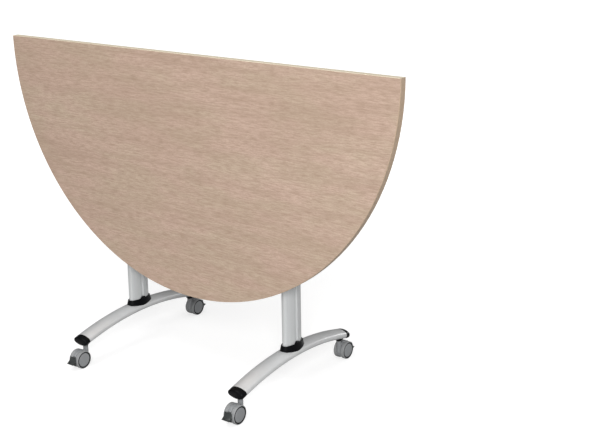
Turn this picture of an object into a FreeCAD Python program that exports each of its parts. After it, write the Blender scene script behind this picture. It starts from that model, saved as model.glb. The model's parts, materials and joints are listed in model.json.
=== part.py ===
"""Flip top training table: a half-round top on two column legs with arched feet and braked casters.

Millimetres. +X runs along the table, +Y away from the user, +Z up. The origin is on the floor, midway
between the legs and under the columns. The top is modelled folded up: its work surface faces -Y and
its straight edge is uppermost. It swings down through -90 degrees about the pivot line along +X.
"""
import FreeCAD, Part
import math
import os

from FreeCAD import Vector

X = Vector(1, 0, 0)
Y = Vector(0, 1, 0)
Z = Vector(0, 0, 1)
ORIGIN = Vector(0, 0, 0)

# ---- table top
use_height = 740.0
top_radius = 800.0
top_thickness = 25.0
band_thickness = 2.0
band_chamfer = 1.0
edge_to_pivot = 428.0
underside_to_pivot = 75.0

# ---- legs
leg_spacing = 680.0
column_width = 38.0
column_depth = 86.0
column_end_radius = 11.0
column_wall = 2.5
groove_depth = 4.5
groove_radius = 7.0
column_to_pivot = 70.0

# ---- feet
foot_half_length = 264.0
foot_width = 60.0
foot_height = 31.0
foot_side_radius = 10.5
foot_wall = 3.0
foot_end_height = 93.5
foot_rise = 35.0

# ---- foot end caps
cap_length = 21.0
cap_round = 4.0
cap_round_steps = 3
cap_plug_length = 34.0
socket_top_radius = 17.0
socket_tip_radius = 9.5
socket_cone_height = 10.0
socket_shank_radius = 12.0
socket_slot_clearance = 0.5

# ---- collars between foot and column, heights above the foot's crown
collar_base_height = 3.0
collar_nose_margin = 12.0
collar_flank_margin = 9.0
collar_rim_wall = 3.0
collar_nose_height = 15.0
collar_flank_height = 16.0
collar_tab_height = 21.5
collar_tab_width = 16.0
collar_tab_run = 4.0
collar_tab_round = 2.5
collar_shelf = 5.0

# ---- through bolts of the legs
bolt_diameter = 10.0
bolt_head_diameter = 16.0
bolt_head_height = 8.0
bolt_socket_radius = 4.6
saddle_washer_diameter = 22.0
saddle_washer_height = 4.0
bolt_access_diameter = 24.0
bolt_engagement = 20.0

# ---- heads
spigot_depth = 24.0
flange_margin = 2.0
flange_thickness = 8.0
flange_chamfer = 2.5
web_thickness = 20.0
rim_radius = 56.0
notch_width = 9.5
notch_depth = 6.5
web_foot_front = 32.0
web_foot_rear = 42.0
web_waist = 20.0
web_shoulder = 2.0
rim_start_angle = 205.0
rim_end_angle = 72.0
web_arm_root = 29.0
stop_arm_web = 8.0
stop_arm_tip = 60.0
stop_arm_height = 14.0
buffer_thickness = 8.7
buffer_height = 12.0
buffer_length = 20.0
buffer_overhang = 1.0

# ---- cross beam
beam_size = 36.0
beam_wall = 2.5
beam_corner_radius = 3.5
beam_front = 4.0
beam_below_pivot = 60.0
beam_plug_length = 30.0
beam_screw_diameter = 6.0
beam_screw_head = 10.0
beam_screw_head_height = 3.5
beam_screw_socket_radius = 2.3
beam_screw_length = 16.0
beam_screw_pitch = 16.0
beam_screw_setback = 17.0

# ---- pivots
pin_diameter = 12.0
pin_head_diameter = 18.0
pin_head_height = 3.0
pin_tail = 4.0
clip_diameter = 16.0
clip_thickness = 2.2
bush_wall = 2.0
bush_flange = 3.0
bush_flange_thickness = 0.7

# ---- flip brackets
cheek_gap = 1.0
cheek_thickness = 4.0
cheek_boss_radius = 18.0
cheek_front_setback = 4.0
cheek_rear_setback = 10.0
cheek_rear_drop = 6.0
cheek_ahead_of_rod = 16.0
cheek_below_rod = 12.0
plate_thickness = 4.0
plate_half_width = 38.0
plate_front = 70.0
plate_rear = 62.0
plate_corner_radius = 8.0
window_half_width = 9.0
window_front = 34.0
window_rear = 8.0
cheek_hole_radius = 11.0
cheek_hole_behind_pivot = 21.0
cheek_hole_above_pivot = 42.0
wood_screw_inset = 10.0
wood_screw_diameter = 4.5
wood_screw_head = 9.0
wood_screw_head_height = 2.5
wood_screw_depth = 14.0

# ---- latch
rod_diameter = 10.0
rod_ahead_of_pivot = 40.0
rod_above_pivot = 54.0
rod_overhang = 30.0
latch_bush_wall = 2.0
latch_bush_flange = 1.5
latch_bush_flange_thickness = 1.0
pawl_thickness = 8.0
pawl_hub_radius = 8.6
pawl_back_rise = 1.5
pawl_arm_inset = 6.0
pawl_arm_drop = 3.5
tooth_width = 8.0
tooth_clearance = 0.7
tooth_bevel_width = 1.5
tooth_bevel_height = 2.0
handle_position = 150.0
handle_width = 90.0
handle_length = 92.0
handle_thickness = 7.0
handle_hub_radius = 10.0
handle_hub_half = 22.0
handle_neck = 23.0
handle_shoulder = 46.0
handle_bend = 14.0
handle_lip_depth = 14.0
handle_lip_thickness = 6.0
handle_edge_round = 2.0
spring_wire = 1.8
spring_turns = 4
spring_pitch = 2.1
spring_gap = 0.4
spring_handle_leg = 34.0
spring_board_leg_angle = 340.0
spring_board_leg_clearance = 4.0

# ---- casters
stem_inset = 4.0
socket_height = 70.5
wheel_diameter = 60.0
caster_width = 42.0
wheel_gap = 14.0
caster_trail = 27.0
axle_diameter = 8.0
stem_diameter = 10.0
stem_in_socket = 29.0
stem_in_neck = 20.0
stem_tip_gap = 3.0
axle_inset = 3.5
neck_diameter = 17.0
neck_chamfer = 1.0
disc_bevel_width = 1.0
disc_bevel_depth = 1.6
disc_crown = 0.2
tyre_depth = 4.6
tyre_inset = 0.7
tyre_bevel = 1.2
ring_groove_width = 2.3
ring_groove_depth = 3.2
side_gap = 0.4
hood_margin = 1.2
hood_round = 1.2
hood_front_angle = 32.0
hood_rear_angle = 215.0
hood_boss_radius = 11.0
lever_hub_radius = 9.0
lever_hub_thickness = 6.0
lever_arm_half = 8.0
lever_slot_margin = 1.0
lever_gap = 1.6
pedal_half_width = 14.0
pedal_top = 16.5
pedal_top_thickness = 1.6
pedal_bottom = 13.5
pedal_bottom_thickness = 1.0
pedal_reach = 15.5
pedal_tip_drop = 3.6
pedal_tip_thickness = 2.4
pedal_upper_waist = (4.2, 4.5)
pedal_lower_waist = (7.0, -8.0)

# ---- clearances
running = 0.05
press = 0.02
gap = 0.3
slip = 0.2

# ---- how far a cutting tool runs past the faces that it cuts
over = 1.0

# ---- worked out from the sizes above
pivot_height = use_height - top_thickness - underside_to_pivot
edge_height = pivot_height + edge_to_pivot
underside_y = -underside_to_pivot
surface_y = underside_y - top_thickness
stop_arm_reach = underside_to_pivot - plate_thickness - gap - buffer_thickness
column_top = pivot_height - column_to_pivot
arch_radius = (foot_half_length ** 2 + foot_rise ** 2) / (2 * foot_rise)
arch_crown = foot_end_height + foot_rise
arch_centre = Vector(0, 0, arch_crown - arch_radius)
arch_angle = math.degrees(math.asin(foot_half_length / arch_radius))
foot_top = arch_crown + foot_height / 2
column_bottom = foot_top + collar_shelf
pivot = Vector(0, 0, pivot_height)
wheel_radius = wheel_diameter / 2
stem_position = foot_half_length - stem_inset
socket_depth = stem_in_socket + stem_tip_gap
rod_place = (-rod_ahead_of_pivot, rod_above_pivot)


def oval_wire(half_long, half_short, end_radius):
    """Oval of four tangent arcs round the origin, its long axis along +X."""
    end_centre = half_long - end_radius
    flat_radius = (end_centre ** 2 + half_short ** 2 - end_radius ** 2) / (2 * (half_short - end_radius))
    flat_centre = flat_radius - half_short
    lean = math.atan2(flat_centre, end_centre)
    x = end_centre + end_radius * math.cos(lean)
    y = end_radius * math.sin(lean)
    arcs = [
        Part.Arc(Vector(x, -y, 0), Vector(half_long, 0, 0), Vector(x, y, 0)),
        Part.Arc(Vector(x, y, 0), Vector(0, half_short, 0), Vector(-x, y, 0)),
        Part.Arc(Vector(-x, y, 0), Vector(-half_long, 0, 0), Vector(-x, -y, 0)),
        Part.Arc(Vector(-x, -y, 0), Vector(0, -half_short, 0), Vector(x, -y, 0)),
    ]
    return Part.Wire([arc.toShape() for arc in arcs])


def column_oval(margin, z):
    """The column's oval in a horizontal plane, grown by margin."""
    wire = oval_wire(column_depth / 2 + margin, column_width / 2 + margin, column_end_radius + margin)
    wire.rotate(ORIGIN, Z, 90)
    wire.translate(Z * z)
    return Part.Face(wire)


def cylinder(radius, height, base, axis=Z):
    return Part.makeCylinder(radius, height, base, axis)


def x_cylinder(radius, x0, x1, y, z):
    """Cylinder along +X from x0 to x1."""
    return Part.makeCylinder(radius, x1 - x0, Vector(x0, y, z), X)


def box(x0, x1, y0, y1, z0, z1):
    return Part.makeBox(x1 - x0, y1 - y0, z1 - z0, Vector(x0, y0, z0))


def side_plate(points, x0, x1):
    """Plate between x0 and x1 with an outline given as (y, z) corners."""
    corners = [Vector(x0, y, z) for y, z in points]
    face = Part.Face(Part.makePolygon(corners + corners[:1]))
    return face.extrude(Vector(x1 - x0, 0, 0))


def hexagon(radius):
    """Closed wire in the XY plane round the origin, radius measured to its corners."""
    sides = 6
    steps = [2 * math.pi * i / sides for i in range(sides + 1)]
    return Part.makePolygon([Vector(radius * math.cos(a), radius * math.sin(a), 0) for a in steps])


def hexagonal_prism(radius, height, base):
    prism = Part.Face(hexagon(radius)).extrude(Z * height)
    prism.translate(base)
    return prism


def union(first, *others):
    return first.fuse(list(others)).removeSplitter()


def moved(shape, offset):
    copy = shape.copy()
    copy.translate(offset)
    return copy


def turned(shape, degrees, axis=Z, about=ORIGIN):
    copy = shape.copy()
    copy.rotate(about, axis, degrees)
    return copy


def polar(radius, degrees):
    """(y, z) of a point at a radius and an angle from +Y towards +Z."""
    return (radius * math.cos(math.radians(degrees)), radius * math.sin(math.radians(degrees)))


def tangent_point(y, z, radius, side):
    """Where a line from (y, z) touches a circle round the origin; side is +1 or -1."""
    angle = math.degrees(math.atan2(z, y))
    swing = math.degrees(math.acos(radius / math.hypot(y, z)))
    return polar(radius, angle + side * swing)


def save(name, *solids):
    shape = solids[0] if len(solids) == 1 else Part.makeCompound(list(solids))
    shape.exportStep("parts/%s.step" % name)


# ---------------------------------------------------------------- column

def column_prism(inset, bottom, top):
    """The column's oval with its two grooves, shrunk by inset (grown where inset is negative)."""
    prism = column_oval(-inset, bottom).extrude(Vector(0, 0, top - bottom))
    groove_x = column_width / 2 - groove_depth + groove_radius
    for side in (1, -1):
        prism = prism.cut(cylinder(groove_radius + inset, top - bottom, Vector(side * groove_x, 0, bottom)))
    return prism


def column():
    outer = column_prism(0, column_bottom, column_top)
    return outer.cut(column_prism(column_wall, column_bottom, column_top))


# ---------------------------------------------------------------- foot

def foot_section(inset):
    """Oval section of the foot at its crown, standing in the XZ plane."""
    wire = oval_wire(foot_width / 2 - inset, foot_height / 2 - inset, foot_side_radius - inset)
    wire.rotate(ORIGIN, X, 90)
    wire.translate(Z * arch_crown)
    return Part.Face(wire)


def arch(inset, start, end):
    """The foot's section swept along the arch between two angles, in degrees towards +Y."""
    face = turned(foot_section(inset), -start, X, arch_centre)
    return face.revolve(arch_centre, X, -(end - start))


def foot_outer():
    return arch(0, -arch_angle, arch_angle)


def foot():
    tube = foot_outer().cut(arch(foot_wall, -arch_angle - over, arch_angle + over))
    tube = tube.cut(cylinder(bolt_diameter / 2 + gap, foot_height, Vector(0, 0, arch_crown)))
    tube = tube.cut(cylinder(bolt_access_diameter / 2, foot_height, Vector(0, 0, arch_crown - foot_height)))
    slot = socket_shank_radius + socket_slot_clearance
    floor = foot_end_height - foot_height
    for side in (1, -1):
        tube = tube.cut(cylinder(slot, foot_height, Vector(0, side * stem_position, floor)))
        near, far = sorted((side * stem_position, side * (foot_half_length + foot_height)))
        tube = tube.cut(box(-slot, slot, near, far, floor, foot_end_height))
    return tube


def cap_nose():
    """Solid end of a cap, rounded off in steps, on the +Y end face of the foot."""
    end = Vector(0, math.cos(math.radians(arch_angle)), -math.sin(math.radians(arch_angle)))
    straight = cap_length - cap_round
    nose = turned(foot_section(0), -arch_angle, X, arch_centre).extrude(end * straight)
    rings = []
    for i in range(cap_round_steps + 1):
        a = math.pi / 2 * i / cap_round_steps
        ring = turned(foot_section(cap_round * (1 - math.cos(a))), -arch_angle, X, arch_centre)
        ring.translate(end * (straight + cap_round * math.sin(a)))
        rings.append(ring.OuterWire)
    return union(nose, Part.makeLoft(rings, True, True))


def foot_cap():
    """End cap for the +Y end of a foot at x = 0."""
    plug_angle = math.degrees(cap_plug_length / arch_radius)
    plug = arch(foot_wall + slip, arch_angle - plug_angle, arch_angle)
    stem = Vector(0, stem_position, socket_height)
    cone = Part.makeCone(socket_tip_radius, socket_top_radius, socket_cone_height, stem, Z)
    skirt = cylinder(socket_top_radius, foot_height / 2, stem + Z * socket_cone_height)
    skirt = union(cone, skirt).cut(arch(0, arch_angle - 2 * plug_angle, arch_angle))
    skirt = skirt.common(box(-foot_width, foot_width, 0, foot_half_length + cap_length, 0, foot_end_height))
    shank = cylinder(socket_shank_radius, foot_end_height - socket_height, stem)
    shank = shank.cut(cylinder(foot_width, socket_cone_height / 2, stem))
    cap = union(cap_nose(), plug, shank, skirt)
    return cap.cut(cylinder(stem_diameter / 2 + running, socket_depth + over, stem - Z * over))


# ---------------------------------------------------------------- collar

def collar_oval(nose_margin, flank_margin, z):
    """The column's oval grown by one margin at its ends and another at its flanks."""
    wire = oval_wire(
        column_depth / 2 + nose_margin,
        column_width / 2 + flank_margin,
        column_end_radius + flank_margin,
    )
    wire.rotate(ORIGIN, Z, 90)
    wire.translate(Z * z)
    return wire


def above_collar_rim():
    """All that lies above a collar's rim: it climbs along the flanks and steps up at the grooves."""
    nose_y = column_depth / 2
    far = 2 * column_depth
    tab_half = collar_tab_width / 2
    step = tab_half + collar_tab_run
    half_outline = [
        (tab_half, foot_top + collar_tab_height),
        (step, foot_top + collar_flank_height),
        (nose_y, foot_top + collar_nose_height),
        (far, foot_top + collar_nose_height),
        (far, foot_top + 2 * collar_tab_height),
    ]
    other_half = [(-y, z) for y, z in reversed(half_outline)]
    tool = side_plate(half_outline + other_half, -column_depth, column_depth)
    along_x = [e for e in tool.Edges if e.BoundBox.XLength > column_depth]
    bends = [e for e in along_x if abs(e.CenterOfMass.y) < step + over]
    return tool.makeFillet(collar_tab_round, bends)


def collar():
    base = collar_oval(collar_nose_margin, collar_flank_margin, arch_crown + collar_base_height)
    rim = collar_oval(collar_rim_wall, collar_rim_wall, foot_top + collar_tab_height)
    body = Part.makeLoft([base, rim], True, True)
    body = body.cut(foot_outer())
    body = body.cut(column_prism(-slip, column_bottom, foot_top + 2 * collar_tab_height))
    body = body.cut(above_collar_rim())
    return body.cut(cylinder(bolt_diameter / 2 + gap, foot_height, Vector(0, 0, arch_crown)))


def leg_bolt():
    """Through bolt from inside the foot up into the head, with its saddle washer."""
    washer_bottom = arch_crown + foot_height / 2 - foot_wall - saddle_washer_height
    washer = cylinder(saddle_washer_diameter / 2, foot_height, Vector(0, 0, washer_bottom))
    washer = washer.common(arch(foot_wall, -arch_angle, arch_angle))
    washer = washer.cut(cylinder(bolt_diameter / 2 + gap, foot_height, Vector(0, 0, arch_crown)))
    head_bottom = washer_bottom - bolt_head_height
    head = cylinder(bolt_head_diameter / 2, bolt_head_height, Vector(0, 0, head_bottom))
    socket = hexagonal_prism(bolt_socket_radius, bolt_head_height / 2, Vector(0, 0, head_bottom))
    end = column_top - spigot_depth + bolt_engagement
    shank = cylinder(bolt_diameter / 2, end - washer_bottom, Vector(0, 0, washer_bottom))
    return washer, union(head.cut(socket), shank)


# ---------------------------------------------------------------- head

def web_face(x):
    """Outline of the head's web about the pivot: the latch rim's arc, then corners round the back."""
    foot_z = flange_thickness - column_to_pivot
    arm_top = stop_arm_top()
    corners = [
        polar(rim_radius, rim_end_angle),
        (web_arm_root, arm_top - stop_arm_web),
        (web_arm_root + stop_arm_web, arm_top),
        (stop_arm_tip, arm_top),
        (stop_arm_tip, arm_top - stop_arm_web),
        (web_foot_rear + web_shoulder, web_waist),
        (web_foot_rear, -web_waist),
        (web_foot_rear, foot_z),
        (-web_foot_front, foot_z),
        polar(rim_radius, rim_start_angle),
    ]
    points = [Vector(x, y, pivot_height + z) for y, z in corners]
    y, z = polar(rim_radius, (rim_start_angle + rim_end_angle) / 2)
    rim = Part.Arc(points[-1], Vector(x, y, pivot_height + z), points[0]).toShape()
    return Part.Face(Part.Wire([rim] + Part.makePolygon(points).Edges))


def stop_arm_top():
    """Height of the rear stop arm above the pivot."""
    return underside_to_pivot - plate_thickness - gap - buffer_thickness


def head():
    """Casting on top of a column at x = 0, with the beam plug on its -X side."""
    straight = flange_thickness - flange_chamfer
    flange = column_oval(flange_margin, column_top).extrude(Z * straight)
    shoulder = Part.makeLoft([
        column_oval(flange_margin, column_top + straight).OuterWire,
        column_oval(flange_margin - flange_chamfer, column_top + flange_thickness).OuterWire,
    ], True, True)
    spigot = column_prism(column_wall + slip, column_top - spigot_depth, column_top)
    half = web_thickness / 2
    web = web_face(-half).extrude(X * web_thickness)
    arm = box(-half, half, -stop_arm_reach, -web_foot_front / 2, column_top, column_top + stop_arm_height)
    body = union(flange, shoulder, spigot, web, arm)
    notch_front = -tooth_width / 2 - notch_width / 2
    notch = box(-web_thickness, web_thickness, notch_front, notch_front + notch_width,
                pivot_height + rim_radius - notch_depth, pivot_height + rim_radius + over)
    body = body.cut(notch)
    bore = pin_diameter / 2 + running + bush_wall
    body = body.cut(x_cylinder(bore, -web_thickness, web_thickness, 0, pivot_height))
    spigot_low = Vector(0, 0, column_top - spigot_depth)
    body = body.cut(cylinder(bolt_diameter / 2 + slip, bolt_engagement + slip, spigot_low))
    inner = beam_wall + slip
    low = pivot_height - beam_below_pivot
    plug = box(-half - beam_plug_length, -half, beam_front + inner, beam_front + beam_size - inner,
               low + inner, low + beam_size - inner)
    for x, y in beam_screw_places():
        plug = plug.cut(cylinder(beam_screw_diameter / 2 + slip, beam_size / 2, Vector(x, y, low)))
    return union(body, plug)


def beam_screw_places():
    """(x, y) of the beam's screws at a head at x = 0."""
    x = -web_thickness / 2 - beam_screw_setback
    middle = beam_front + beam_size / 2
    return [(x, middle - beam_screw_pitch / 2), (x, middle + beam_screw_pitch / 2)]


def stop_buffers():
    """Rubber pads of a head at x = 0: one for the top folded up, one for the top in use."""
    half = web_thickness / 2 - buffer_overhang
    middle = column_top + stop_arm_height / 2
    folded_up = box(-half, half, -stop_arm_reach - buffer_thickness, -stop_arm_reach,
                    middle - buffer_height / 2, middle + buffer_height / 2)
    low = pivot_height + stop_arm_top()
    in_use = box(-half, half, stop_arm_tip - buffer_overhang - buffer_length, stop_arm_tip - buffer_overhang,
                 low, low + buffer_thickness)
    return folded_up, in_use


def pivot_bush(side):
    """Half bush of a head at x = 0, pushed in from the side given as +1 or -1, its flange outside."""
    bore = pin_diameter / 2 + running
    half = web_thickness / 2
    length = half + bush_flange_thickness
    sleeve = x_cylinder(bore + bush_wall, 0, length, 0, pivot_height)
    flange = x_cylinder(bore + bush_wall + bush_flange, half, length, 0, pivot_height)
    bush = union(sleeve, flange).cut(x_cylinder(bore, -over, length + over, 0, pivot_height))
    return bush if side > 0 else turned(bush, 180)


def cross_beam():
    half = leg_spacing / 2 - web_thickness / 2
    low = pivot_height - beam_below_pivot
    outer = box(-half, half, beam_front, beam_front + beam_size, low, low + beam_size)
    outer = outer.makeFillet(beam_corner_radius, [e for e in outer.Edges if e.BoundBox.XLength > half])
    inner = box(-half - over, half + over, beam_front + beam_wall, beam_front + beam_size - beam_wall,
                low + beam_wall, low + beam_size - beam_wall)
    beam = outer.cut(inner)
    for side in (1, -1):
        for x, y in beam_screw_places():
            base = Vector(side * (leg_spacing / 2 + x), y, low - over)
            beam = beam.cut(cylinder(beam_screw_diameter / 2 + slip, beam_wall + 2 * over, base))
    return beam


def beam_screw(x, y):
    low = pivot_height - beam_below_pivot
    head_base = Vector(x, y, low - beam_screw_head_height)
    head = cylinder(beam_screw_head / 2, beam_screw_head_height, head_base)
    head = head.cut(hexagonal_prism(beam_screw_socket_radius, beam_screw_head_height / 2, head_base))
    return union(head, cylinder(beam_screw_diameter / 2, beam_screw_length, Vector(x, y, low)))


# ---------------------------------------------------------------- top

def folded(shape):
    """Turns a piece drawn about the pivot in the position of use, up into the folded position."""
    copy = turned(shape, 90, X)
    copy.translate(pivot)
    return copy


def half_disc(radius, front, back):
    """Half disc below the top's straight edge, between two y planes."""
    disc = Part.makeCylinder(radius, back - front, Vector(0, front, edge_height), Y)
    far = 2 * radius
    return disc.cut(box(-far, far, front - over, back + over, edge_height, edge_height + far))


def bracket_screw_places():
    """(x, y) of the wood screws of a bracket at x = 0, in the position of use."""
    x = (cheek_inside() + cheek_thickness + plate_half_width) / 2
    rows = (wood_screw_inset - plate_front, plate_rear - wood_screw_inset)
    return [(side * x, y) for side in (1, -1) for y in rows]


def table_top():
    inner = top_radius - band_thickness
    board = half_disc(inner, surface_y, underside_y)
    board = board.cut(box(-top_radius, top_radius, surface_y - over, underside_y + over,
                          edge_height - band_thickness, edge_height + over))
    pilots = []
    for leg in (1, -1):
        for x, y in bracket_screw_places():
            base = Vector(leg * leg_spacing / 2 + x, y, underside_to_pivot - over)
            pilots.append(folded(cylinder(wood_screw_diameter / 2, wood_screw_depth + over, base)))
    return board.cut(pilots)


def edge_band_curved():
    """Band round the half circle, its outer corners chamfered."""
    outer = top_radius
    inner = top_radius - band_thickness
    profile = [
        (inner, surface_y),
        (outer - band_chamfer, surface_y),
        (outer, surface_y + band_chamfer),
        (outer, underside_y - band_chamfer),
        (outer - band_chamfer, underside_y),
        (inner, underside_y),
    ]
    corners = [Vector(-r, y, edge_height) for r, y in profile]
    face = Part.Face(Part.makePolygon(corners + corners[:1]))
    return face.revolve(Vector(0, 0, edge_height), Y, -180)


def edge_band_straight():
    inner = top_radius - band_thickness
    half = math.sqrt(inner ** 2 - band_thickness ** 2)
    low = edge_height - band_thickness
    profile = [
        (surface_y, low),
        (surface_y, edge_height - band_chamfer),
        (surface_y + band_chamfer, edge_height),
        (underside_y - band_chamfer, edge_height),
        (underside_y, edge_height - band_chamfer),
        (underside_y, low),
    ]
    return side_plate(profile, -half, half)


def cheek_inside():
    return web_thickness / 2 + cheek_gap


def cheek_outline():
    """(y, z) corners of a cheek about the pivot in the position of use."""
    plate_low = underside_to_pivot - plate_thickness
    front = (-rod_ahead_of_pivot - cheek_ahead_of_rod, rod_above_pivot - cheek_below_rod)
    rear = (plate_rear - cheek_rear_setback, plate_low - cheek_rear_drop)
    return [
        (cheek_front_setback - plate_front, plate_low),
        front,
        tangent_point(front[0], front[1], cheek_boss_radius, 1),
        (0, 0),
        tangent_point(rear[0], rear[1], cheek_boss_radius, -1),
        rear,
        (rear[0], plate_low),
    ]


def flip_bracket():
    """Bracket of a leg at x = 0, in the position of use: a base plate and two cheeks."""
    plate_low = underside_to_pivot - plate_thickness
    plate = box(-plate_half_width, plate_half_width, -plate_front, plate_rear, plate_low, underside_to_pivot)
    corners = [e for e in plate.Edges if e.BoundBox.ZLength > plate_thickness / 2]
    plate = plate.makeFillet(plate_corner_radius, corners)
    plate = plate.cut(box(-window_half_width, window_half_width, -window_front, window_rear,
                          plate_low - over, underside_to_pivot + over))
    for x, y in bracket_screw_places():
        hole = cylinder(wood_screw_diameter / 2, plate_thickness + 2 * over, Vector(x, y, plate_low - over))
        plate = plate.cut(hole)
    cheeks = []
    for side in (1, -1):
        x0, x1 = sorted((side * cheek_inside(), side * (cheek_inside() + cheek_thickness)))
        cheek = union(side_plate(cheek_outline(), x0, x1), x_cylinder(cheek_boss_radius, x0, x1, 0, 0))
        cheek = cheek.cut(x_cylinder(pin_diameter / 2 + press, x0 - over, x1 + over, 0, 0))
        rod_hole = rod_diameter / 2 + running + latch_bush_wall
        cheek = cheek.cut(x_cylinder(rod_hole, x0 - over, x1 + over, *rod_place))
        cheeks.append(cheek.cut(x_cylinder(cheek_hole_radius, x0 - over, x1 + over,
                                           cheek_hole_behind_pivot, cheek_hole_above_pivot)))
    return union(plate, *cheeks)


def bracket_screw(x, y):
    low = underside_to_pivot - plate_thickness
    head = cylinder(wood_screw_head / 2, wood_screw_head_height, Vector(x, y, low - wood_screw_head_height))
    shank = cylinder(wood_screw_diameter / 2, plate_thickness + wood_screw_depth, Vector(x, y, low))
    return union(head, shank)


def pivot_pin():
    """Pin through a bracket's cheeks and the head, at x = 0, its head on the +X side."""
    outside = cheek_inside() + cheek_thickness
    shank = x_cylinder(pin_diameter / 2, -outside - pin_tail, outside, 0, 0)
    pin_head = x_cylinder(pin_head_diameter / 2, outside, outside + pin_head_height, 0, 0)
    clip = x_cylinder(clip_diameter / 2, -outside - clip_thickness, -outside, 0, 0)
    return union(shank, pin_head, clip)


def latch_bush(side):
    """Flanged bush of the latch rod in a cheek of a bracket at x = 0, its flange outside."""
    bore = rod_diameter / 2 + running
    inside = cheek_inside()
    outside = inside + cheek_thickness
    end = outside + latch_bush_flange_thickness
    sleeve = x_cylinder(bore + latch_bush_wall, inside, outside, *rod_place)
    flange = x_cylinder(bore + latch_bush_wall + latch_bush_flange, outside, end, *rod_place)
    bush = union(sleeve, flange).cut(x_cylinder(bore, inside - over, end + over, *rod_place))
    return bush if side > 0 else turned(bush, 180, Z, Vector(0, -rod_ahead_of_pivot, 0))


# ---------------------------------------------------------------- latch

def latch_rod():
    half = leg_spacing / 2 + rod_overhang
    return x_cylinder(rod_diameter / 2, -half, half, *rod_place)


def latch_pawl():
    """Pawl at x = 0 in the position of use: hub on the rod, arm, and a tooth over the head's rim."""
    half = pawl_thickness / 2
    hub_y, hub_z = rod_place
    tooth_low = rim_radius + tooth_clearance
    outline = [
        (hub_y, hub_z + pawl_hub_radius),
        (0, hub_z + pawl_hub_radius + pawl_back_rise),
        (0, tooth_low),
        (-tooth_width, tooth_low),
        (-tooth_width - tooth_bevel_width, tooth_low + tooth_bevel_height),
        (hub_y + pawl_arm_inset, hub_z - pawl_arm_drop),
        (hub_y, hub_z),
    ]
    body = union(side_plate(outline, -half, half), x_cylinder(pawl_hub_radius, -half, half, *rod_place))
    return body.cut(x_cylinder(rod_diameter / 2, -half - over, half + over, *rod_place))


def release_handle():
    """Paddle on the latch rod in the position of use, reaching towards the user, its lip turned down."""
    half = handle_width / 2
    hub_y, hub_z = rod_place
    end = hub_y - handle_length
    face = handle_thickness / 2
    side_view = [
        (hub_y, hub_z + face),
        (end + handle_bend, hub_z + face),
        (end, hub_z - face),
        (end, hub_z - handle_lip_depth),
        (end + handle_lip_thickness, hub_z - handle_lip_depth),
        (end + handle_lip_thickness, hub_z - 2 * face),
        (end + handle_bend, hub_z - face),
        (hub_y, hub_z - face),
    ]
    blade = side_plate(side_view, -half, half)
    half_plan = [
        (handle_hub_half, hub_y),
        (handle_hub_half, hub_y - handle_neck),
        (half, hub_y - handle_shoulder),
        (half, end - over),
    ]
    plan = half_plan + [(-x, y) for x, y in reversed(half_plan)]
    corners = [Vector(x, y, hub_z - handle_length) for x, y in plan]
    blade = blade.common(Part.Face(Part.makePolygon(corners + corners[:1])).extrude(Z * 2 * handle_length))
    across = [e for e in blade.Edges if e.BoundBox.XLength > half]
    lip_edges = [e for e in across if e.BoundBox.YMax < end + handle_bend + over]
    blade = blade.makeFillet(handle_edge_round, lip_edges)
    hub = x_cylinder(handle_hub_radius, -handle_hub_half, handle_hub_half, *rod_place)
    return union(blade, hub).cut(x_cylinder(rod_diameter / 2, -half, half, *rod_place))


def latch_spring():
    """Torsion spring round the rod beside the handle, of six-sided wire.

    One leg bears on the handle's outer face. The other points at the board and stops short of it, so
    that it stays clear while the latch turns. Drawn about +Z from the XZ plane, then turned onto +X.
    """
    radius = rod_diameter / 2 + spring_wire / 2 + spring_gap
    seat = handle_thickness / 2 + slip / 2 + spring_wire / 2
    reach = math.hypot(radius, spring_handle_leg)
    lean = math.degrees(math.acos(seat / reach) - math.atan2(spring_handle_leg, radius))
    start = 270 - lean
    sweep = spring_board_leg_angle + 360 * spring_turns - start
    helix = Part.makeHelix(spring_pitch, spring_pitch * sweep / 360, radius)
    section = hexagon(spring_wire / 2)
    section.rotate(ORIGIN, X, 90)
    section.translate(X * radius)
    coil = helix.makePipeShell([section], True, True)
    ends = [f for f in coil.Faces if f.Surface.TypeId == "Part::GeomPlane"]
    ends.sort(key=lambda f: f.CenterOfMass.z)
    up = underside_to_pivot - rod_above_pivot - spring_board_leg_clearance
    board_angle = math.radians(spring_board_leg_angle)
    board_leg = (up - radius * math.sin(board_angle)) / math.cos(board_angle)
    legs = [ends[0].extrude(ends[0].normalAt(0, 0) * spring_handle_leg)]
    legs.append(ends[1].extrude(ends[1].normalAt(0, 0) * board_leg))
    spring = union(coil, *legs)
    spring.rotate(ORIGIN, Z, start)
    spring.rotate(ORIGIN, Vector(1, 1, 1), 120)
    spring.translate(Vector(handle_hub_half + spring_wire / 2 + gap, *rod_place))
    return spring


# ---------------------------------------------------------------- casters

def about_axle(points):
    """(y, z) points given about a caster's axle, moved to the caster's frame."""
    return [(caster_trail + y, wheel_radius + z) for y, z in points]


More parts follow.
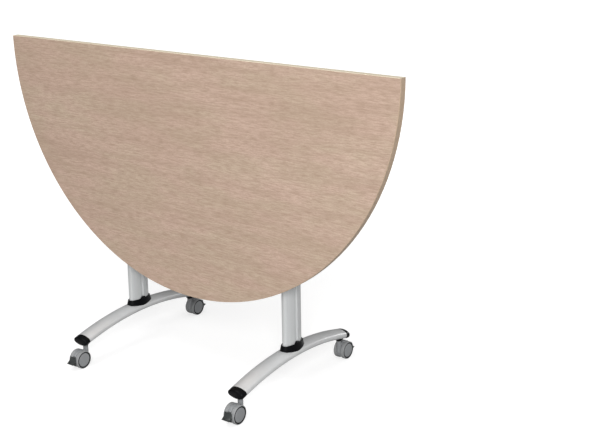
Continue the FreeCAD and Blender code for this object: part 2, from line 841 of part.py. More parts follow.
def caster_hood():
    """Hood and neck of a caster with its stem at the origin, trailing towards +Y."""
    half = wheel_gap / 2 - side_gap
    slot_half = lever_hub_thickness / 2 + gap
    radius = wheel_radius + hood_margin
    far = 2 * wheel_diameter
    arc = x_cylinder(radius, -half, half, caster_trail, wheel_radius)
    rim_edges = [e for e in arc.Edges if e.BoundBox.YLength > radius]
    arc = arc.makeChamfer(hood_round, rim_edges)
    mouth = [(0, 0), polar(far, hood_front_angle), (far, -far), (-far, -far), polar(far, hood_rear_angle)]
    arc = arc.cut(side_plate(about_axle(mouth), -half - over, half + over))
    hood = union(arc, x_cylinder(hood_boss_radius, -half, half, caster_trail, wheel_radius))
    slot_radius = hood_boss_radius + lever_slot_margin
    hood = hood.cut(x_cylinder(slot_radius, -slot_half, slot_half, caster_trail, wheel_radius))
    hood = hood.cut(box(-slot_half, slot_half, caster_trail, caster_trail + wheel_diameter,
                        wheel_radius - hood_boss_radius, wheel_radius + lever_arm_half + lever_slot_margin))
    neck_top = socket_height - gap
    neck = cylinder(neck_diameter / 2, neck_top - wheel_radius, Vector(0, 0, wheel_radius))
    neck = neck.makeChamfer(neck_chamfer, [e for e in neck.Edges if e.BoundBox.ZMin > neck_top - over])
    for side in (1, -1):
        x0, x1 = sorted((side * half, side * wheel_radius))
        neck = neck.cut(x_cylinder(radius, x0, x1, caster_trail, wheel_radius))
    hood = union(hood, neck)
    axle_hole = axle_diameter / 2 + press
    hood = hood.cut(x_cylinder(axle_hole, -half - over, half + over, caster_trail, wheel_radius))
    stem_hole = Vector(0, 0, neck_top - stem_in_neck)
    return hood.cut(cylinder(stem_diameter / 2 + press, stem_in_neck + over, stem_hole))


def caster_pins():
    """Steel stem and axle of a caster."""
    half = caster_width / 2 - axle_inset
    stem_low = socket_height - gap - stem_in_neck
    stem = cylinder(stem_diameter / 2, stem_in_neck + gap + stem_in_socket, Vector(0, 0, stem_low))
    return stem, x_cylinder(axle_diameter / 2, -half, half, caster_trail, wheel_radius)


def revolved_wheel(profile, side):
    """Ring revolved about the axle from (x, radius) corners; side -1 mirrors it."""
    corners = [Vector(side * x, caster_trail, wheel_radius + r) for x, r in profile]
    face = Part.Face(Part.makePolygon(corners + corners[:1]))
    return face.revolve(Vector(0, caster_trail, wheel_radius), X, 360)


def caster_wheel(side):
    inside = wheel_gap / 2
    outside = caster_width / 2
    edge = wheel_radius - tyre_depth - press
    bore = axle_diameter / 2 + running
    end = outside - axle_inset + running
    shoulder = outside - disc_crown
    profile = [
        (inside, bore),
        (inside, edge),
        (shoulder - disc_bevel_width, edge),
        (shoulder, edge - disc_bevel_depth),
        (outside, 0),
        (end, 0),
        (end, bore),
    ]
    return revolved_wheel(profile, side)


def caster_tyre(side):
    inside = wheel_gap / 2
    outside = caster_width / 2 - tyre_inset
    inner = wheel_radius - tyre_depth
    profile = [
        (inside, inner),
        (inside, wheel_radius),
        (outside - tyre_bevel, wheel_radius),
        (outside, wheel_radius - tyre_bevel),
        (outside, inner + ring_groove_width),
        (outside - ring_groove_depth, inner + ring_groove_width),
        (outside - ring_groove_depth, inner),
    ]
    return revolved_wheel(profile, side)


def lever_pedal():
    """Pedal of a brake lever: hollow arcs run from its top and its bottom edge out to the tip."""
    back = wheel_radius + lever_gap
    upper = pedal_upper_waist
    lower = pedal_lower_waist
    outline = [
        (back - pedal_bottom_thickness, pedal_top - pedal_top_thickness / 2),
        (back + pedal_top_thickness - pedal_bottom_thickness, pedal_top),
        (back + upper[0], upper[1]),
        (back + pedal_reach, -pedal_tip_drop),
        (back + pedal_reach - pedal_bottom_thickness, -pedal_tip_drop - pedal_tip_thickness),
        (back + lower[0], lower[1]),
        (back + pedal_bottom_thickness, -pedal_bottom),
        (back, pedal_bottom_thickness - pedal_bottom),
    ]
    p = [Vector(-pedal_half_width, y, z) for y, z in about_axle(outline)]
    upper_arc = Part.Arc(p[1], p[2], p[3]).toShape()
    lower_arc = Part.Arc(p[4], p[5], p[6]).toShape()
    tip = Part.makeLine(p[3], p[4])
    inner = Part.makePolygon([p[6], p[7], p[0], p[1]]).Edges
    face = Part.Face(Part.Wire([upper_arc, tip, lower_arc] + inner))
    pedal = face.extrude(X * 2 * pedal_half_width)
    clear = pedal_half_width + over
    return pedal.cut(x_cylinder(back, -clear, clear, caster_trail, wheel_radius))


def caster_lever():
    """Brake lever on the axle between the wheels, its pedal in front of them."""
    half_hub = lever_hub_thickness / 2
    reach = wheel_radius + lever_gap + pedal_upper_waist[0] / 2
    hub = x_cylinder(lever_hub_radius, -half_hub, half_hub, caster_trail, wheel_radius)
    arm = box(-half_hub, half_hub, caster_trail, caster_trail + reach,
              wheel_radius - lever_arm_half, wheel_radius + lever_arm_half)
    lever = union(hub, arm, lever_pedal())
    bore = axle_diameter / 2 + running
    return lever.cut(x_cylinder(bore, -half_hub - over, half_hub + over, caster_trail, wheel_radius))


# ---------------------------------------------------------------- build

def caster_at(shape, x, end):
    """Places a caster's piece at a leg; end is +1 at the rear and -1 at the front."""
    placed = shape if end > 0 else turned(shape, 180)
    return moved(placed, Vector(x, end * stem_position, 0))


def main():
    os.makedirs("parts", exist_ok=True)
    legs = (("left", -leg_spacing / 2), ("right", leg_spacing / 2))
    ends = (("front", -1), ("rear", 1))
    bolts = []
    buffers = []
    bushes = []
    beam_screws = []
    wood_screws = []
    pins = []
    rod_bushes = []
    one_column = column()
    one_foot = foot()
    one_collar = collar()
    one_cap = foot_cap()
    one_head = head()
    one_bracket = flip_bracket()
    one_pawl = latch_pawl()
    for side, x in legs:
        here = Vector(x, 0, 0)
        inward = 1 if x > 0 else -1
        save("column_" + side, moved(one_column, here))
        save("foot_" + side, moved(one_foot, here))
        save("column_collar_" + side, moved(one_collar, here))
        save("foot_cap_rear_" + side, moved(one_cap, here))
        save("foot_cap_front_" + side, moved(turned(one_cap, 180), here))
        placed_head = one_head if x > 0 else one_head.mirror(ORIGIN, X)
        save("head_" + side, moved(placed_head, here))
        save("flip_bracket_" + side, moved(folded(one_bracket), here))
        save("latch_pawl_" + side, moved(folded(one_pawl), here))
        bolts += [moved(s, here) for s in leg_bolt()]
        buffers += [moved(s, here) for s in stop_buffers()]
        bushes += [moved(pivot_bush(s), here) for s in (1, -1)]
        beam_screws += [beam_screw(inward * (leg_spacing / 2 + bx), by) for bx, by in beam_screw_places()]
        wood_screws += [moved(folded(bracket_screw(*p)), here) for p in bracket_screw_places()]
        pins.append(moved(folded(turned(pivot_pin(), 0 if x > 0 else 180)), here))
        rod_bushes += [moved(folded(latch_bush(s)), here) for s in (1, -1)]
    save("column_bolts", *bolts)
    save("stop_buffers", *buffers)
    save("pivot_bushes", *bushes)
    save("beam_screws", *beam_screws)
    save("bracket_screws", *wood_screws)
    save("pivot_pins", *pins)
    save("latch_bushes", *rod_bushes)
    save("cross_beam", cross_beam())
    save("table_top", table_top())
    save("edge_band_curved", edge_band_curved())
    save("edge_band_straight", edge_band_straight())
    save("latch_rod", folded(latch_rod()))
    save("release_handle", moved(folded(release_handle()), Vector(handle_position, 0, 0)))
    save("latch_spring", moved(folded(latch_spring()), Vector(handle_position, 0, 0)))
    pieces = {
        "hood": [caster_hood()],
        "pins": list(caster_pins()),
        "wheel_a": [caster_wheel(1)],
        "wheel_b": [caster_wheel(-1)],
        "tyre_a": [caster_tyre(1)],
        "tyre_b": [caster_tyre(-1)],
        "lever": [caster_lever()],
    }
    for side, x in legs:
        for end, sign in ends:
            for piece, solids in pieces.items():
                save("caster_%s_%s_%s" % (end, side, piece), *[caster_at(s, x, sign) for s in solids])


main()
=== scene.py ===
"""Looks of the half-round flip top training table.

Materials, refined pieces, stage, light and camera.
"""

import itertools
import json
import math

import bmesh
import bpy
from mathutils import Matrix, Vector


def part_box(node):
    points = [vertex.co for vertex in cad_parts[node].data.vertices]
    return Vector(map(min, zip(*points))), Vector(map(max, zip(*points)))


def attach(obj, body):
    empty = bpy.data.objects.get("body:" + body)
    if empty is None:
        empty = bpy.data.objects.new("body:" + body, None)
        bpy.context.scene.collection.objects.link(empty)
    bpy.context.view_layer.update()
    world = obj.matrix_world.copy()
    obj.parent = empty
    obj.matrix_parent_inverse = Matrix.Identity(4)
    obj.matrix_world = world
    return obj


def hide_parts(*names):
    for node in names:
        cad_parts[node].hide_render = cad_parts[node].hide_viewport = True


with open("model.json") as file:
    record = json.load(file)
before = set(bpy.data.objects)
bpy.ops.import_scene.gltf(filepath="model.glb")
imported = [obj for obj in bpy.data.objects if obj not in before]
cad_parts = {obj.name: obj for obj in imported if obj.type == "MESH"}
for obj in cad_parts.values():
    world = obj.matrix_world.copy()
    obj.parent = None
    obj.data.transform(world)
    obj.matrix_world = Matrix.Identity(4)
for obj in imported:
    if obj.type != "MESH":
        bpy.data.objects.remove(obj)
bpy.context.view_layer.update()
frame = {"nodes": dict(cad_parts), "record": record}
NODES = frame["nodes"]
SLOTS = {entry["node"]: entry["material_slot"] for entry in frame["record"]["subparts"]}
BODIES = frame["record"]["behaviour"]["bodies"]
BODY_OF = {node: body for body, nodes in BODIES.items() for node in nodes}
LEGS = ("left", "right")
ENDS = ("front", "rear")
MM = 0.001

# ---- edges of the moulded, cast and cut pieces, in millimetres: a node takes the first round
# ---- whose name its own name starts or ends with
EDGE_ROUNDS = {
    "head": 1.0,
    "flip_bracket": 0.5,
    "latch_pawl": 0.4,
    "release_handle": 0.8,
    "cross_beam": 0.3,
    "column_bolts": 0.4,
    "beam_screws": 0.4,
    "pivot_pins": 0.5,
    "latch_bushes": 0.2,
    "latch_rod": 0.6,
    "stop_buffers": 0.8,
    "hood": 0.5,
    "lever": 0.7,
    "pins": 0.4,
    "foot_cap": 0.9,
    "column_collar": 0.9,
}
ROUND_STEPS = 3
EDGE_ANGLE = math.radians(28)
FLAT_ANGLE = math.radians(0.3)

# ---- corners nearer than this are one, in millimetres: in a CAD node's mesh, in a mesh made here
WELD = 0.01
JOIN = 0.001

# ---- pieces whose flat faces have windows or inward corners, and are split before the rounding
SPLIT = ("flip_bracket", "release_handle", "column_collar")

# ---- where crowded fine edges stay sharp, in millimetres: heights of a head's flange,
# ---- reach round a caster's stem in the hood's neck and in a foot cap's socket
FLANGE_LOW = 569.0
FLANGE_HIGH = 579.5
NECK_REACH = 9.3
SOCKET_REACH = 18.5
SOCKET_LOW = 72.0
STEM_Y = 260.0

# ---- wheels: widths from the caster's middle and radii from the axle, in millimetres
WHEEL_STEPS = 96
WHEEL_INSIDE = 7.0
WHEEL_OUTSIDE = 21.0
WHEEL_BORE = 4.05
WHEEL_HUB_END = 17.55
DISC_RADIUS = 25.35
DISC_FACE_RADIUS = 23.0
DISC_ROUND = 0.9
DISC_CROWN = 0.6
CROWN_STEPS = 8
DISC_STEP = 2.4
TYRE_RADIUS = 30.0
TYRE_INNER = 25.4
TYRE_OUTSIDE = 20.3
TYRE_ROUND = 1.4
RING_RADIUS = 27.4
RING_FLOOR = 18.0

# ---- latch spring, in millimetres and degrees: where its coil starts on the rod, radii of
# ---- coil and wire, rise per turn, angles of the coil's ends, lengths of its legs
SPRING_START = Vector((173.2, -54.0, 600.0))
SPRING_COIL = 6.3
SPRING_WIRE = 0.9
SPRING_PITCH = 2.1
SPRING_ANGLES = (266.98, 1780.0)
SPRING_LEGS = (34.0, 20.38)
SPRING_STEPS = 320
WIRE_SIDES = 20

# ---- wood screws of the brackets, in millimetres: places from a leg's pivot, then their shape
SCREW_PLACES = [(x, z) for x in (-26.5, 26.5) for z in (-60.0, 52.0)]
SCREW_SEAT = -71.0
SCREW_HEAD = 4.5
SCREW_DOME = 2.5
DOME_FALL = 1.7
DOME_FLAT = 1.0
DOME_CURVE = 2.4
DOME_STEPS = 8
SCREW_SHANK = 2.25
SCREW_LENGTH = 18.0
SCREW_POINT = 4.0
RECESS = 1.5
RECESS_LOBES = 6
RECESS_LOBE = 0.28
RECESS_RIM = 0.3
RECESS_RIM_FALL = 0.15
RECESS_DEPTH = 1.6
SCREW_STEPS = 48
PIVOT_HEIGHT = 640.0
LEG_X = {"left": -340.0, "right": 340.0}

# ---- floor, in metres, and world light
FLOOR_HALF = 30.0
FLOOR_TONE = 0.42
FLOOR_ROUGHNESS = 0.9
FLOOR_GLOSS = 0.2
FLOOR_NEAR = 0.9
FLOOR_FAR = 3.0
FLOOR_NEAR_GLOW = 0.66
FLOOR_FAR_GLOW = 0.95
SKY_TOWARD = (0.42, -0.56, 0.71)
SKY_DIM = 0.08
SKY_BRIGHT = 1.0

# ---- lamps: name, place, target, width in metres, power in watts
LAMPS = [
    ("key", (3.3, -4.0, 2.9), (0.2, 0, 0.6), 1.5, 232),
    ("fill", (-3.6, -2.8, 1.8), (0, 0, 0.4), 2.0, 2),
    ("above", (-0.7, -1.5, 4.0), (-0.1, 0, 0.4), 1.6, 42),
    ("behind", (0.9, 3.7, 1.1), (0, 0, 0.7), 1.2, 30),
]

# ---- camera, fitted to the photo
LENS = 67.84
SENSOR_WIDTH = 36.0
CAMERA_PLACE = Vector((2.3460, -2.6054, 1.5988))
CAMERA_YAW = math.radians(37.26)
CAMERA_PITCH = math.radians(13.828)
CAMERA_ROLL = math.radians(-0.884)
CAMERA_SHIFT_Y = -0.12


# ---------------------------------------------------------------- node materials

class Shader:
    """A principled material and the nodes that feed it."""

    def __init__(self, name):
        self.material = bpy.data.materials.new(name)
        self.material.use_nodes = True
        self.tree = self.material.node_tree
        self.bsdf = self.tree.nodes["Principled BSDF"]
        self.place = self.tree.nodes.new("ShaderNodeTexCoord").outputs["Object"]

    def node(self, kind, **values):
        """Adds a node; each value goes to the input of that name, or else to the property."""
        made = self.tree.nodes.new(kind)
        for key, value in values.items():
            if key in made.inputs:
                made.inputs[key].default_value = value
            else:
                setattr(made, key, value)
        return made

    def link(self, source, target):
        self.tree.links.new(source, target)

    def scaled(self, scale):
        mapping = self.node("ShaderNodeMapping")
        mapping.inputs["Scale"].default_value = scale
        self.link(self.place, mapping.inputs["Vector"])
        return mapping.outputs["Vector"]

    def noise(self, scale, detail=2.0, stretch=(1, 1, 1), roughness=0.5):
        made = self.node("ShaderNodeTexNoise", Scale=scale, Detail=detail, Roughness=roughness)
        self.link(self.scaled(stretch), made.inputs["Vector"])
        return made.outputs["Fac"]

    def ramp(self, value, low, high, low_out, high_out):
        made = self.node("ShaderNodeMapRange")
        made.inputs["From Min"].default_value = low
        made.inputs["From Max"].default_value = high
        made.inputs["To Min"].default_value = low_out
        made.inputs["To Max"].default_value = high_out
        self.link(value, made.inputs["Value"])
        return made.outputs["Result"]

    def upward(self):
        """How far the piece's own surface faces up: 1 up, 0 sideways, -1 down."""
        facing = self.node("ShaderNodeSeparateXYZ")
        self.link(self.node("ShaderNodeTexCoord").outputs["Normal"], facing.inputs["Vector"])
        return facing.outputs["Z"]

    def mix(self, factor, first, second):
        """Colour mix by a socket; first and second are colours or sockets."""
        made = self.node("ShaderNodeMix", data_type="RGBA")
        self.link(factor, made.inputs["Factor"])
        for socket, value in ((made.inputs[6], first), (made.inputs[7], second)):
            if isinstance(value, tuple):
                socket.default_value = (*value, 1.0)
            else:
                self.link(value, socket)
        return made.outputs[2]

    def color(self, socket):
        self.link(socket, self.bsdf.inputs["Base Color"])

    def roughness(self, value, low, high):
        self.link(self.ramp(value, 0.3, 0.7, low, high), self.bsdf.inputs["Roughness"])

    def bump(self, value, strength, distance):
        made = self.node("ShaderNodeBump", Strength=strength, Distance=distance)
        self.link(value, made.inputs["Height"])
        self.link(made.outputs["Normal"], self.bsdf.inputs["Normal"])


def srgb(r, g, b):
    """A linear colour from sRGB 0 to 255."""
    def straight(c):
        c /= 255
        return c / 12.92 if c <= 0.04045 else ((c + 0.055) / 1.055) ** 2.4
    return (straight(r), straight(g), straight(b))


def wood_face():
    """Light beech laminate, its grain along the table."""
    s = Shader("wood_face")
    warp = s.noise(1.0, 2.0, (2.0, 6.0, 6.0))
    cloud = s.noise(1.0, 2.0, (5.0, 16.0, 16.0), 0.6)
    band = s.noise(1.0, 4.0, (4.0, 44.0, 60.0), 0.65)
    streak = s.noise(1.0, 3.0, (26.0, 220.0, 240.0), 0.75)
    fibre = s.noise(1.0, 3.0, (130.0, 600.0, 800.0), 0.7)
    base = s.mix(s.ramp(cloud, 0.38, 0.62, 0.0, 1.0), srgb(193, 167, 152), srgb(186, 167, 147))
    base = s.mix(s.ramp(warp, 0.35, 0.65, 0.0, 0.4), base, srgb(174, 150, 132))
    base = s.mix(s.ramp(band, 0.42, 0.68, 0.0, 0.5), base, srgb(158, 135, 117))
    base = s.mix(s.ramp(streak, 0.42, 0.66, 0.0, 0.75), base, srgb(148, 124, 106))
    base = s.mix(s.ramp(fibre, 0.45, 0.70, 0.0, 0.6), base, srgb(148, 124, 107))
    s.color(base)
    s.roughness(streak, 0.44, 0.54)
    s.bump(fibre, 0.10, 0.0003)
    return s.material


def edge_band():
    """Edging with a faint grain, with painted light and shade: cream on the straight edge that
    faces up, a darker wood tone round the curve.
    """
    s = Shader("edge_band")
    streak = s.noise(1.0, 3.0, (9.0, 260.0, 90.0), 0.6)
    grain = s.ramp(streak, 0.35, 0.7, 0.0, 1.0)
    # painted light and shade: edging that faces up is painted a light cream, edging that faces
    # sideways a darker wood tone
    straight = s.mix(grain, srgb(218, 208, 187), srgb(206, 193, 169))
    shaded_side_edging = s.mix(grain, srgb(179, 157, 135), srgb(165, 143, 120))
    s.color(s.mix(s.ramp(s.upward(), 0.4, 0.8, 0.0, 1.0), shaded_side_edging, straight))
    s.roughness(streak, 0.40, 0.50)
    s.bump(streak, 0.06, 0.0002)
    return s.material


def speckled(
    name, light, dark, rough,
    speck=900.0, bump=0.15, metallic=0.0, cloud=14.0, gloss=0.5, painted_shade_below=None,
):
    """Paint, powder coat or moulded plastic.

    It has a faint cloud in the colour and a fine speckle in the gloss. What faces down takes
    the underside colour, where one is given: painted shade under the piece.
    """
    s = Shader(name)
    clouds = s.noise(cloud, 3.0)
    fine = s.noise(speck, 2.0)
    shade = s.mix(s.ramp(clouds, 0.3, 0.7, 0.0, 1.0), light, dark)
    # painted shade: what faces down turns to the darker underside colour
    if painted_shade_below:
        shade = s.mix(s.ramp(s.upward(), -0.45, 0.0, 1.0, 0.0), shade, painted_shade_below)
    s.color(shade)
    s.roughness(fine, rough - 0.05, rough + 0.06)
    s.bump(fine, bump, 0.0002)
    s.bsdf.inputs["Metallic"].default_value = metallic
    s.bsdf.inputs["Specular IOR Level"].default_value = gloss
    return s.material


def drawn(name, light, dark, rough, stretch, metallic=1.0):
    """Drawn, extruded or turned metal: fine lines along one direction."""
    s = Shader(name)
    lines = s.noise(1.0, 2.0, stretch, 0.6)
    s.color(s.mix(s.ramp(lines, 0.3, 0.7, 0.0, 1.0), light, dark))
    s.roughness(lines, rough - 0.05, rough + 0.08)
    s.bump(lines, 0.06, 0.0001)
    s.bsdf.inputs["Metallic"].default_value = metallic
    return s.material


MATERIALS = {
    "wood": wood_face(),
    "edge_band": edge_band(),
    "silver_aluminium": drawn(
        "silver_aluminium", srgb(206, 208, 208), srgb(194, 196, 197), 0.34, (900, 900, 4), 0.35
    ),
    "silver_paint": speckled(
        "silver_paint", srgb(198, 199, 199), srgb(189, 190, 191), 0.40, metallic=0.25
    ),
    "black_plastic": speckled("black_plastic", srgb(9, 10, 13), srgb(5, 6, 8), 0.32, gloss=0.10),
    "black_metal": speckled(
        "black_metal", srgb(34, 34, 37), srgb(26, 26, 29), 0.48, bump=0.3, gloss=0.4
    ),
    "steel": drawn("steel", srgb(186, 186, 190), srgb(166, 166, 171), 0.30, (600, 600, 600)),
    "bush_polymer": speckled("bush_polymer", srgb(206, 202, 186), srgb(196, 191, 174), 0.45),
    "buffer_rubber": speckled("buffer_rubber", srgb(40, 40, 42), srgb(32, 32, 34), 0.7, bump=0.3),
    "caster_grey": speckled("caster_grey", srgb(134, 136, 138), srgb(122, 124, 126), 0.38),
    "caster_tread": speckled(
        "caster_tread", srgb(142, 143, 144), srgb(124, 126, 127), 0.52, speck=420.0, bump=0.35
    ),
    # painted shade: the sunk ring between a wheel's disc and tread is painted near-black
    "caster_ring": speckled(
        "caster_ring", srgb(20, 21, 23), srgb(13, 14, 15), 0.55, bump=0.2, gloss=0.15
    ),
    # its near-black underside is painted shade under the pedal
    "lever_grey": speckled(
        "lever_grey", srgb(55, 58, 58), srgb(36, 39, 39), 0.38,
        cloud=60.0, gloss=0.35, painted_shade_below=srgb(9, 10, 11),
    ),
}


def dress_frame():
    for name, obj in NODES.items():
        obj.data.materials.clear()
        obj.data.materials.append(MATERIALS[SLOTS[name]])


# ---------------------------------------------------------------- refined pieces

def new_piece(name, mesh, node, *extra_slots):
    """Adds a piece that stands for a CAD node, on its body and with its slot.

    The piece's first material is that slot's; extra_slots name the others.
    """
    piece = bpy.data.objects.new(name, mesh)
    bpy.context.scene.collection.objects.link(piece)
    for slot in (SLOTS[node], *extra_slots):
        mesh.materials.append(MATERIALS[slot])
    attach(piece, BODY_OF[node])
    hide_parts(node)
    return piece


def stays_sharp(stem, place):
    """Whether an edge's middle, in metres, is where the shape leaves no room for a round."""
    place = place / MM
    from_stem = min(math.hypot(place.x - x, abs(place.y) - STEM_Y) for x in LEG_X.values())
    if stem == "head":
        return FLANGE_LOW < place.z < FLANGE_HIGH
    if stem == "hood":
        return from_stem < NECK_REACH
    if stem == "foot_cap":
        return from_stem < SOCKET_REACH and place.z > SOCKET_LOW
    return False


def soften(node, stem, width):
    """Adds the node's shape with its facets joined into whole faces and its edges rounded."""
    mesh = bpy.data.meshes.new(node + "_finish")
    bm = bmesh.new()
    bm.from_mesh(NODES[node].data)
    bmesh.ops.remove_doubles(bm, verts=bm.verts, dist=WELD * MM)
    bmesh.ops.dissolve_limit(bm, angle_limit=FLAT_ANGLE, verts=bm.verts, edges=bm.edges)
    if stem in SPLIT:
        bmesh.ops.connect_verts_concave(bm, faces=bm.faces)
    for face in bm.faces:
        face.smooth = True
    weight = bm.edges.layers.float.new("bevel_weight_edge")
    for edge in bm.edges:
        if edge.calc_face_angle(0) > EDGE_ANGLE:
            middle = (edge.verts[0].co + edge.verts[1].co) / 2
            edge.smooth = not stays_sharp(stem, middle)
            edge[weight] = float(edge.smooth)
    bm.to_mesh(mesh)
    bm.free()
    piece = new_piece(node + "_finish", mesh, node)
    bevel = piece.modifiers.new("rounds", "BEVEL")
    bevel.width = width * MM
    bevel.segments = ROUND_STEPS
    bevel.limit_method = "WEIGHT"
    bevel.use_clamp_overlap = False
    bevel.loop_slide = stem not in SPLIT
    bevel.harden_normals = True
    bevel.miter_outer = "MITER_ARC"


def soften_all():
    for node in NODES:
        for stem, width in EDGE_ROUNDS.items():
            if node.startswith(stem) or node.endswith("_" + stem):
                soften(node, stem, width)
                break


def quarter(centre, radius, start, steps=5):
    """Points of a quarter circle in a profile, anticlockwise from an angle in degrees."""
    angles = [math.radians(start + 90 * i / steps) for i in range(steps + 1)]
    return [(centre[0] + radius * math.cos(a), centre[1] + radius * math.sin(a)) for a in angles]


def skin(bm, rings, closed, material_of=None):
    """Faces between rings of places in metres; each ring's last point joins its first."""
    rows = [[bm.verts.new(place) for place in ring] for ring in rings]
    count = len(rows[0])
    for row, following in zip(rows, rows[1:] + rows[:1] if closed else rows[1:]):
        for i in range(count):
            j = (i + 1) % count
            face = bm.faces.new((row[i], row[j], following[j], following[i]))
            if material_of:
                face.material_index = material_of(i, j)
    return rows


def finish_piece(name, bm, node, *extra_slots):
    """Joins the corners that meet, drops what has shrunk to a line, and adds the piece."""
    bmesh.ops.remove_doubles(bm, verts=bm.verts, dist=JOIN * MM)
    loose = [edge for edge in bm.edges if not edge.link_faces]
    bmesh.ops.delete(bm, geom=loose, context="EDGES")
    bmesh.ops.recalc_face_normals(bm, faces=bm.faces)
    for face in bm.faces:
        face.smooth = True
    mesh = bpy.data.meshes.new(name)
    bm.to_mesh(mesh)
    bm.free()
    mesh.set_sharp_from_angle(angle=EDGE_ANGLE)
    new_piece(name, mesh, node, *extra_slots)


def lathe(name, profile, centre, side, node, *extra_slots, material_of):
    """Adds a piece turned about +X through centre, from (x, radius) points in millimetres.

    side -1 mirrors it; material_of gives the material of the stretch between two points.
    """
    rings = []
    for step in range(WHEEL_STEPS):
        a = 2 * math.pi * step / WHEEL_STEPS
        y, z = math.cos(a), math.sin(a)
        rings.append([centre + Vector((side * x, r * y, r * z)) * MM for x, r in profile])
    bm = bmesh.new()
    skin(bm, rings, True, lambda i, j: material_of(profile[i], profile[j]))
    finish_piece(name, bm, node, *extra_slots)


def wheel_profile():
    """Disc with a crowned face, then a lower rim, and a pocket for the axle's end."""
    face = WHEEL_OUTSIDE - DISC_CROWN
    crown = []
    for i in range(CROWN_STEPS):
        r = (DISC_FACE_RADIUS - DISC_ROUND) * i / CROWN_STEPS
        crown.append((WHEEL_OUTSIDE - DISC_CROWN * (r / DISC_FACE_RADIUS) ** 2, r))
    edge = quarter((face - DISC_ROUND, DISC_FACE_RADIUS - DISC_ROUND), DISC_ROUND, 0)
    step = WHEEL_OUTSIDE - DISC_STEP
    rim = [(step, DISC_FACE_RADIUS), (step, DISC_RADIUS), (WHEEL_INSIDE, DISC_RADIUS)]
    hub = [(WHEEL_INSIDE, WHEEL_BORE), (WHEEL_HUB_END, WHEEL_BORE), (WHEEL_HUB_END, 0.0)]
    return crown + edge + rim + hub


def tyre_profile():
    """Tread with rounded shoulders and, next to the disc, a sunk ring."""
    outer = quarter((TYRE_OUTSIDE - TYRE_ROUND, TYRE_RADIUS - TYRE_ROUND), TYRE_ROUND, 0)
    inner = quarter((WHEEL_INSIDE + TYRE_ROUND, TYRE_RADIUS - TYRE_ROUND), TYRE_ROUND, 90)
    bore = [(WHEEL_INSIDE, TYRE_INNER), (RING_FLOOR, TYRE_INNER)]
    ring = [(RING_FLOOR, RING_RADIUS), (TYRE_OUTSIDE, RING_RADIUS)]
    return outer + inner + bore + ring


def in_ring(first, second):
    """1 for a stretch of a wheel's profile in the sunk ring between disc and tread, which is
    painted near-black as shade, else 0.
    """
    low, high = sorted((first[1], second[1]))
    outside = min(first[0], second[0]) > WHEEL_INSIDE
    return int(DISC_FACE_RADIUS <= low and high <= RING_RADIUS and outside)


def build_wheels():
    for leg, end, letter in itertools.product(LEGS, ENDS, "ab"):
        stem = "caster_%s_%s_" % (end, leg)
        low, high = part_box(stem + "tyre_" + letter)
        axle = (low + high) / 2
        pins_low, pins_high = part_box(stem + "pins")
        middle = (pins_low.x + pins_high.x) / 2
        side = 1 if axle.x > middle else -1
        axle.x = middle
        for part, profile in (("tyre_", tyre_profile()), ("wheel_", wheel_profile())):
            node = stem + part + letter
            lathe(node + "_finish", profile, axle, side, node, "caster_ring", material_of=in_ring)


def spring_line():
    """Middle line of the wire: the leg on the handle, the coil, the leg towards the board."""
    first, last = SPRING_ANGLES
    rise = SPRING_PITCH / 360

    def on_coil(angle):
        a = math.radians(angle)
        across = Vector((0, -math.sin(a), math.cos(a))) * SPRING_COIL
        return across + Vector((rise * (angle - first), 0, 0))

    step = (last - first) / SPRING_STEPS
    coil = [on_coil(first + step * i) for i in range(SPRING_STEPS + 1)]
    ends = []
    for angle, way, leg in zip(SPRING_ANGLES, (-1, 1), SPRING_LEGS):
        a = math.radians(angle)
        ends.append(on_coil(angle) + Vector((0, -math.cos(a), -math.sin(a))) * way * leg)
    return [(SPRING_START + place) * MM for place in [ends[0], *coil, ends[1]]]


def build_spring():
    """Round wire along the spring's middle line."""
    line = spring_line()
    rings = []
    side = Vector((1, 0, 0))
    for i, place in enumerate(line):
        along = (line[min(i + 1, len(line) - 1)] - line[max(i - 1, 0)]).normalized()
        side = (side - along * side.dot(along)).normalized()
        across = along.cross(side)
        ring = []
        for step in range(WIRE_SIDES):
            a = 2 * math.pi * step / WIRE_SIDES
            ring.append(place + (side * math.cos(a) + across * math.sin(a)) * SPRING_WIRE * MM)
        rings.append(ring)
    bm = bmesh.new()
    rows = skin(bm, rings, False)
    bm.faces.new(rows[0])
    bm.faces.new(rows[-1])
    finish_piece("latch_spring_finish", bm, "latch_spring")


def screw_profile():
    """(height, radius, lobe) points of a screw with a domed head and a six-lobed recess."""
    dome_width = SCREW_HEAD - RECESS - RECESS_LOBE - RECESS_RIM
    dome = []
    for i in range(DOME_STEPS + 1):
        r = SCREW_HEAD - dome_width * i / DOME_STEPS
        fall = DOME_FALL * ((r - DOME_FLAT) / (SCREW_HEAD - DOME_FLAT)) ** DOME_CURVE
        dome.append((SCREW_DOME - fall, r, 0.0))
    floor = SCREW_DOME - RECESS_DEPTH
    recess = [
        (SCREW_DOME - RECESS_RIM_FALL, RECESS, RECESS_LOBE),
        (floor, RECESS, RECESS_LOBE),
        (floor, 0.0, 0.0),
    ]
    shank = [
        (-SCREW_LENGTH, 0.0, 0.0),
        (SCREW_POINT - SCREW_LENGTH, SCREW_SHANK, 0.0),
        (0.0, SCREW_SHANK, 0.0),
        (0.0, SCREW_HEAD, 0.0),
    ]
    return shank + dome + recess


def screw_rings(seat):
    """Rings of a screw along +Y whose head sits at seat, in millimetres."""
    rings = []
    for step in range(SCREW_STEPS):
        a = 2 * math.pi * step / SCREW_STEPS
        ring = []
        for height, radius, lobe in screw_profile():
            r = radius + lobe * math.cos(RECESS_LOBES * a)
            ring.append((seat + Vector((r * math.cos(a), height, r * math.sin(a)))) * MM)
        rings.append(ring)
    return rings


def build_wood_screws():
    bm = bmesh.new()
    for leg in LEGS:
        for x, z in SCREW_PLACES:
            seat = Vector((LEG_X[leg] + x, SCREW_SEAT, PIVOT_HEIGHT + z))
            skin(bm, screw_rings(seat), True)
    finish_piece("bracket_screws_finish", bm, "bracket_screws")


# ---------------------------------------------------------------- stage, light, camera

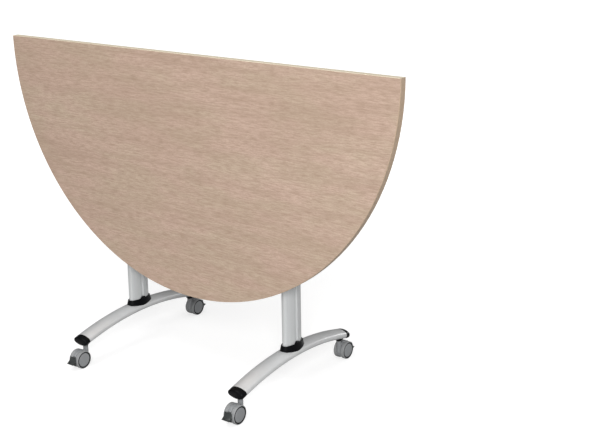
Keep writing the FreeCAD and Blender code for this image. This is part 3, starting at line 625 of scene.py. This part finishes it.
def floor_material():
    """White floor that the camera sees brighter with the distance from the table."""
    s = Shader("floor")
    s.bsdf.inputs["Base Color"].default_value = (FLOOR_TONE, FLOOR_TONE, FLOOR_TONE, 1.0)
    s.bsdf.inputs["Roughness"].default_value = FLOOR_ROUGHNESS
    s.bsdf.inputs["Specular IOR Level"].default_value = FLOOR_GLOSS
    s.bsdf.inputs["Emission Color"].default_value = (1, 1, 1, 1)
    length = s.node("ShaderNodeVectorMath", operation="LENGTH")
    s.link(s.place, length.inputs[0])
    distance = length.outputs["Value"]
    glow = s.ramp(distance, FLOOR_NEAR, FLOOR_FAR, FLOOR_NEAR_GLOW, FLOOR_FAR_GLOW)
    seen = s.node("ShaderNodeMath", operation="MULTIPLY")
    s.link(glow, seen.inputs[0])
    s.link(s.node("ShaderNodeLightPath").outputs["Is Camera Ray"], seen.inputs[1])
    s.link(seen.outputs[0], s.bsdf.inputs["Emission Strength"])
    return s.material


def build_world():
    """White to the camera; as a light, bright in front of and above the table and dim behind."""
    world = bpy.data.worlds.new("world")
    bpy.context.scene.world = world
    world.use_nodes = True
    tree = world.node_tree
    background = tree.nodes["Background"]
    background.inputs["Color"].default_value = (1, 1, 1, 1)
    toward = tree.nodes.new("ShaderNodeVectorMath")
    toward.operation = "DOT_PRODUCT"
    toward.inputs[1].default_value = SKY_TOWARD
    direction = tree.nodes.new("ShaderNodeTexCoord").outputs["Generated"]
    tree.links.new(direction, toward.inputs[0])
    dome = tree.nodes.new("ShaderNodeMapRange")
    dome.inputs["To Min"].default_value = SKY_DIM
    dome.inputs["To Max"].default_value = SKY_BRIGHT
    tree.links.new(toward.outputs["Value"], dome.inputs["Value"])
    strength = tree.nodes.new("ShaderNodeMapRange")
    strength.inputs["To Max"].default_value = 1.0
    tree.links.new(dome.outputs["Result"], strength.inputs["To Min"])
    camera_ray = tree.nodes.new("ShaderNodeLightPath").outputs["Is Camera Ray"]
    tree.links.new(camera_ray, strength.inputs["Value"])
    tree.links.new(strength.outputs["Result"], background.inputs["Strength"])


def build_stage():
    signs = ((-1, -1), (1, -1), (1, 1), (-1, 1))
    corners = [(x * FLOOR_HALF, y * FLOOR_HALF, 0) for x, y in signs]
    mesh = bpy.data.meshes.new("floor")
    mesh.from_pydata(corners, [], [(0, 1, 2, 3)])
    floor = bpy.data.objects.new("floor", mesh)
    bpy.context.scene.collection.objects.link(floor)
    mesh.materials.append(floor_material())
    build_world()


def area_light(name, place, target, size, power):
    data = bpy.data.lights.new(name, "AREA")
    data.shape = "DISK"
    data.size = size
    data.energy = power
    light = bpy.data.objects.new(name, data)
    light.location = place
    toward = Vector(target) - Vector(place)
    light.rotation_euler = toward.to_track_quat("-Z", "Y").to_euler()
    bpy.context.scene.collection.objects.link(light)


def build_camera():
    data = bpy.data.cameras.new("camera")
    data.lens = LENS
    data.sensor_width = SENSOR_WIDTH
    data.shift_y = CAMERA_SHIFT_Y
    camera = bpy.data.objects.new("camera", data)
    forward = Vector((
        -math.sin(CAMERA_YAW) * math.cos(CAMERA_PITCH),
        math.cos(CAMERA_YAW) * math.cos(CAMERA_PITCH),
        -math.sin(CAMERA_PITCH),
    ))
    level = Vector((math.cos(CAMERA_YAW), math.sin(CAMERA_YAW), 0))
    upright = level.cross(forward)
    right = level * math.cos(CAMERA_ROLL) + upright * math.sin(CAMERA_ROLL)
    up = upright * math.cos(CAMERA_ROLL) - level * math.sin(CAMERA_ROLL)
    turn = Matrix((right, up, -forward)).transposed()
    camera.matrix_world = Matrix.Translation(CAMERA_PLACE) @ turn.to_4x4()
    bpy.context.scene.collection.objects.link(camera)
    bpy.context.scene.camera = camera


dress_frame()
soften_all()
build_wheels()
build_spring()
build_wood_screws()
build_stage()
for lamp in LAMPS:
    area_light(*lamp)
build_camera()
bpy.context.scene.view_settings.view_transform = "Standard"

bpy.context.view_layer.update()
